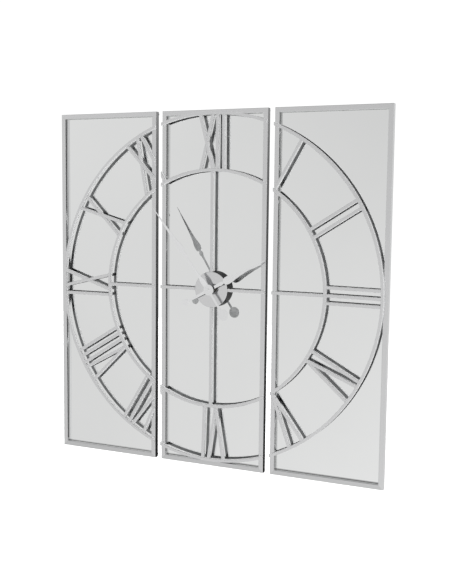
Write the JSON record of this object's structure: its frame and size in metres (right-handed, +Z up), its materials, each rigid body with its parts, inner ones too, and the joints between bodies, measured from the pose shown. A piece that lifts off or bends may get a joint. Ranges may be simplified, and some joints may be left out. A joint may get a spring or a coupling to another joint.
{
  "type": "mirror clock",
  "caption": "Wall clock of tall framed mirror panels hung side by side, carrying an open metal dial of concentric rings and roman numerals, a round hub and an hour and a minute hand.",
  "frame": {"origin": "dial centre, projected onto the wall plane that the bumpers rest on", "axes": "+Z up, +X to the viewer's right, +Y into the wall, so the front faces -Y"},
  "size_m": [1.2, 0.1, 1.2],
  "materials": {
    "frame_metal": "satin-polished nickel plate on steel tube",
    "dial_metal": "satin-polished nickel plate on solid steel bar",
    "hub_metal": "polished, spun steel cup",
    "hand_metal": "pale satin sheet",
    "mirror_silver": "silvered float glass",
    "board_fibre": "plain pressed fibreboard",
    "plated_sheet": "zinc-plated sheet",
    "screw_steel": "zinc-plated screws",
    "bumper_rubber": "soft black rubber",
    "case_plastic": "fine-grained black plastic",
    "battery_sleeve": "plain metallic sleeve without print on a standard AA cell",
    "circuit_laminate": "brown paper laminate",
    "coil_copper": "enamelled copper wire on a steel core",
    "rotor_magnet": "plastic-bonded magnet",
    "gear_plastic": "white moulded plastic",
    "arbor_brass": "turned brass",
    "knob_plastic": "moulded plastic, dark red",
    "nut_brass": "turned brass"
  },
  "bodies": {
    "clock_body": {"battery": "battery_sleeve", "bush_nut": "nut_brass", "centre_backing_board": "board_fibre", "centre_bottom_rail": "frame_metal", "centre_cross_bars": "dial_metal", "centre_inner_ring_arcs": "dial_metal", "centre_left_stile": "frame_metal", "centre_mirror_glass": "mirror_silver", "centre_outer_ring_arcs": "dial_metal", "centre_right_stile": "frame_metal", "centre_top_rail": "frame_metal", "circuit_board": "circuit_laminate", "hanger_plates": "plated_sheet", "hub_cup": "hub_metal", "left_backing_board": "board_fibre", "left_bottom_rail": "frame_metal", "left_cross_bar": "dial_metal", "left_inner_ring_arc": "dial_metal", "left_inner_stile": "frame_metal", "left_mirror_glass": "mirror_silver", "left_outer_ring_arc": "dial_metal", "left_outer_stile": "frame_metal", "left_top_rail": "frame_metal", "motor_coil": "coil_copper", "movement_front_case": "case_plastic", "movement_rear_case": "case_plastic", "numeral_01": "dial_metal", "numeral_02": "dial_metal", "numeral_03": "dial_metal", "numeral_04": "dial_metal", "numeral_05": "dial_metal", "numeral_06": "dial_metal", "numeral_07": "dial_metal", "numeral_08": "dial_metal", "numeral_09": "dial_metal", "numeral_10": "dial_metal", "numeral_11": "dial_metal", "numeral_12": "dial_metal", "rear_screws": "screw_steel", "retaining_clips": "plated_sheet", "right_backing_board": "board_fibre", "right_bottom_rail": "frame_metal", "right_cross_bar": "dial_metal", "right_inner_ring_arc": "dial_metal", "right_inner_stile": "frame_metal", "right_mirror_glass": "mirror_silver", "right_outer_ring_arc": "dial_metal", "right_outer_stile": "frame_metal", "right_top_rail": "frame_metal", "wall_bumpers": "bumper_rubber"},
    "minute": {"minute_wheel": "arbor_brass", "minute_hand": "hand_metal"},
    "hour": {"hour_wheel": "gear_plastic", "hour_hand": "hand_metal"},
    "motion": {"motion_wheel": "gear_plastic"},
    "knob": {"setting_knob": "knob_plastic"},
    "third": {"third_wheel": "gear_plastic"},
    "seconds": {"seconds_wheel": "gear_plastic"},
    "intermediate": {"intermediate_wheel": "gear_plastic"},
    "rotor": {"rotor": "rotor_magnet"}
  },
  "joints": [
    {"name": "minute_turn", "type": "hinge", "parent": "clock_body", "child": "minute", "pos_m": [0, 0, 0], "axis": [0, 1, 0], "continuous": true},
    {"name": "hour_turn", "type": "hinge", "parent": "clock_body", "child": "hour", "pos_m": [0, 0, 0], "axis": [0, 1, 0], "continuous": true},
    {"name": "motion_turn", "type": "hinge", "parent": "clock_body", "child": "motion", "pos_m": [-0.01, 0, 0], "axis": [0, 1, 0], "continuous": true},
    {"name": "knob_turn", "type": "hinge", "parent": "clock_body", "child": "knob", "pos_m": [-0.01819, 0, -0.00574], "axis": [0, 1, 0], "continuous": true},
    {"name": "third_turn", "type": "hinge", "parent": "clock_body", "child": "third", "pos_m": [0.00953, 0, 0.0055], "axis": [0, 1, 0], "continuous": true},
    {"name": "seconds_turn", "type": "hinge", "parent": "clock_body", "child": "seconds", "pos_m": [0, 0, 0], "axis": [0, 1, 0], "continuous": true},
    {"name": "intermediate_turn", "type": "hinge", "parent": "clock_body", "child": "intermediate", "pos_m": [-0.0056, 0, 0.0097], "axis": [0, 1, 0], "continuous": true},
    {"name": "rotor_turn", "type": "hinge", "parent": "clock_body", "child": "rotor", "pos_m": [-0.0131, 0, 0.0097], "axis": [0, 1, 0], "continuous": true}
  ],
  "couplings": [
    {"joint": "hour_turn", "follows": "minute_turn", "ratio": 0.083333},
    {"joint": "motion_turn", "follows": "minute_turn", "ratio": -0.33333},
    {"joint": "knob_turn", "follows": "minute_turn", "ratio": 1},
    {"joint": "third_turn", "follows": "minute_turn", "ratio": -7.5},
    {"joint": "seconds_turn", "follows": "minute_turn", "ratio": 60},
    {"joint": "intermediate_turn", "follows": "minute_turn", "ratio": -360},
    {"joint": "rotor_turn", "follows": "minute_turn", "ratio": 1800}
  ]
}
